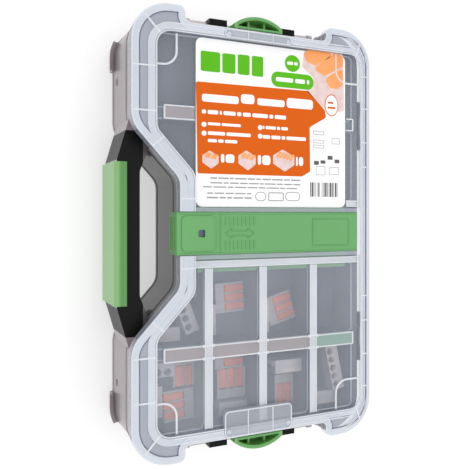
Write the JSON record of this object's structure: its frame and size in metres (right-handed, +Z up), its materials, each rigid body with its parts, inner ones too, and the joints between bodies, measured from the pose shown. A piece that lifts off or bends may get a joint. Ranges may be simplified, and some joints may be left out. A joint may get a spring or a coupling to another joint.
{
  "type": "connector assortment case",
  "caption": "Small flat carry case with a frosted hinged lid, green slide bar and side latches, holding loose lever wire connectors in a divided tray.",
  "frame": {"origin": "on the standing face, in the middle between the two side latches; the lid reaches 76 mm to the handle side and 78 mm to the hinge side of it", "axes": "+X along the case's long side, -Y towards the handle, +Y towards the lid's hinge, +Z up through the lid"},
  "size_m": [0.26, 0.1605, 0.064],
  "materials": {
    "black_plastic": "satin, moulded",
    "green_plastic": "satin, moulded",
    "dark_tray": "matt, thin moulded tray",
    "frosted_plastic": "translucent, lightly frosted, with whiter edges and ribs",
    "label_film": "printed film",
    "clear_housing": "clear, slightly grey",
    "orange_plastic": "glossy, moulded",
    "copper": "tinned copper strip",
    "spring_steel": "bright strip",
    "steel": "dark drawn rod"
  },
  "bodies": {
    "base": {"base_shell": "black_plastic", "handle_grip": "green_plastic", "tray_left": "dark_tray", "tray_right": "dark_tray", "hinge_pin_left": "steel", "hinge_pin_right": "steel", "latch_pin_left": "steel", "latch_pin_right": "steel", "two_pole_stock_housing": "clear_housing", "two_pole_stock_busbar": "copper", "two_pole_stock_springs": "spring_steel", "two_pole_stock_levers": "orange_plastic", "two_pole_housing": "clear_housing", "two_pole_busbar": "copper", "two_pole_springs": "spring_steel", "three_pole_stock_housing": "clear_housing", "three_pole_stock_busbar": "copper", "three_pole_stock_springs": "spring_steel", "three_pole_stock_levers": "orange_plastic", "three_pole_housing": "clear_housing", "three_pole_busbar": "copper", "three_pole_springs": "spring_steel", "five_pole_stock_housing": "clear_housing", "five_pole_stock_busbar": "copper", "five_pole_stock_springs": "spring_steel", "five_pole_stock_levers": "orange_plastic", "five_pole_housing": "clear_housing", "five_pole_busbar": "copper", "five_pole_springs": "spring_steel"},
    "lid": {"lid_shell": "frosted_plastic", "label_sheet": "label_film"},
    "slider": {"lid_slider": "green_plastic"},
    "latch_left": {"side_latch_left": "green_plastic"},
    "latch_right": {"side_latch_right": "green_plastic"},
    "two_pole_lever_1": {"two_pole_lever_1": "orange_plastic"},
    "two_pole_lever_2": {"two_pole_lever_2": "orange_plastic"},
    "three_pole_lever_1": {"three_pole_lever_1": "orange_plastic"},
    "three_pole_lever_2": {"three_pole_lever_2": "orange_plastic"},
    "three_pole_lever_3": {"three_pole_lever_3": "orange_plastic"},
    "five_pole_lever_1": {"five_pole_lever_1": "orange_plastic"},
    "five_pole_lever_2": {"five_pole_lever_2": "orange_plastic"},
    "five_pole_lever_3": {"five_pole_lever_3": "orange_plastic"},
    "five_pole_lever_4": {"five_pole_lever_4": "orange_plastic"},
    "five_pole_lever_5": {"five_pole_lever_5": "orange_plastic"}
  },
  "joints": [
    {"name": "lid_hinge", "type": "hinge", "parent": "base", "child": "lid", "pos_m": [0, 0.0757, 0.0535], "axis": [-1, 0, 0], "range_deg": [0, 120]},
    {"name": "slider_travel", "type": "slide", "parent": "lid", "child": "slider", "axis": [0, -1, 0], "range_m": [0, 0.008]},
    {"name": "latch_left_hinge", "type": "hinge", "parent": "base", "child": "latch_left", "pos_m": [-0.1255, 0, 0.049], "axis": [0, -1, 0], "range_deg": [0, 25], "stiffness_Nm_per_rad": 0.005},
    {"name": "latch_right_hinge", "type": "hinge", "parent": "base", "child": "latch_right", "pos_m": [0.1255, 0, 0.049], "axis": [0, 1, 0], "range_deg": [0, 25], "stiffness_Nm_per_rad": 0.005},
    {"name": "two_pole_lever_1_hinge", "type": "hinge", "parent": "base", "child": "two_pole_lever_1", "pos_m": [0.08205, -0.03625, 0.0371], "axis": [0, -1, 0], "range_deg": [0, 90]},
    {"name": "two_pole_lever_2_hinge", "type": "hinge", "parent": "base", "child": "two_pole_lever_2", "pos_m": [0.08205, -0.04185, 0.0371], "axis": [0, -1, 0], "range_deg": [0, 90]},
    {"name": "three_pole_lever_1_hinge", "type": "hinge", "parent": "base", "child": "three_pole_lever_1", "pos_m": [0.04512, 0.02138, 0.0371], "axis": [0.9613, 0.2756, 0], "range_deg": [0, 90]},
    {"name": "three_pole_lever_2_hinge", "type": "hinge", "parent": "base", "child": "three_pole_lever_2", "pos_m": [0.0505, 0.02293, 0.0371], "axis": [0.9613, 0.2756, 0], "range_deg": [0, 90]},
    {"name": "three_pole_lever_3_hinge", "type": "hinge", "parent": "base", "child": "three_pole_lever_3", "pos_m": [0.05588, 0.02447, 0.0371], "axis": [0.9613, 0.2756, 0], "range_deg": [0, 90]},
    {"name": "five_pole_lever_1_hinge", "type": "hinge", "parent": "base", "child": "five_pole_lever_1", "pos_m": [-0.05415, -0.01585, 0.0371], "axis": [1, 0, 0], "range_deg": [0, 90]},
    {"name": "five_pole_lever_2_hinge", "type": "hinge", "parent": "base", "child": "five_pole_lever_2", "pos_m": [-0.04855, -0.01585, 0.0371], "axis": [1, 0, 0], "range_deg": [0, 90]},
    {"name": "five_pole_lever_3_hinge", "type": "hinge", "parent": "base", "child": "five_pole_lever_3", "pos_m": [-0.04295, -0.01585, 0.0371], "axis": [1, 0, 0], "range_deg": [0, 90]},
    {"name": "five_pole_lever_4_hinge", "type": "hinge", "parent": "base", "child": "five_pole_lever_4", "pos_m": [-0.03735, -0.01585, 0.0371], "axis": [1, 0, 0], "range_deg": [0, 90]},
    {"name": "five_pole_lever_5_hinge", "type": "hinge", "parent": "base", "child": "five_pole_lever_5", "pos_m": [-0.03175, -0.01585, 0.0371], "axis": [1, 0, 0], "range_deg": [0, 90]}
  ]
}
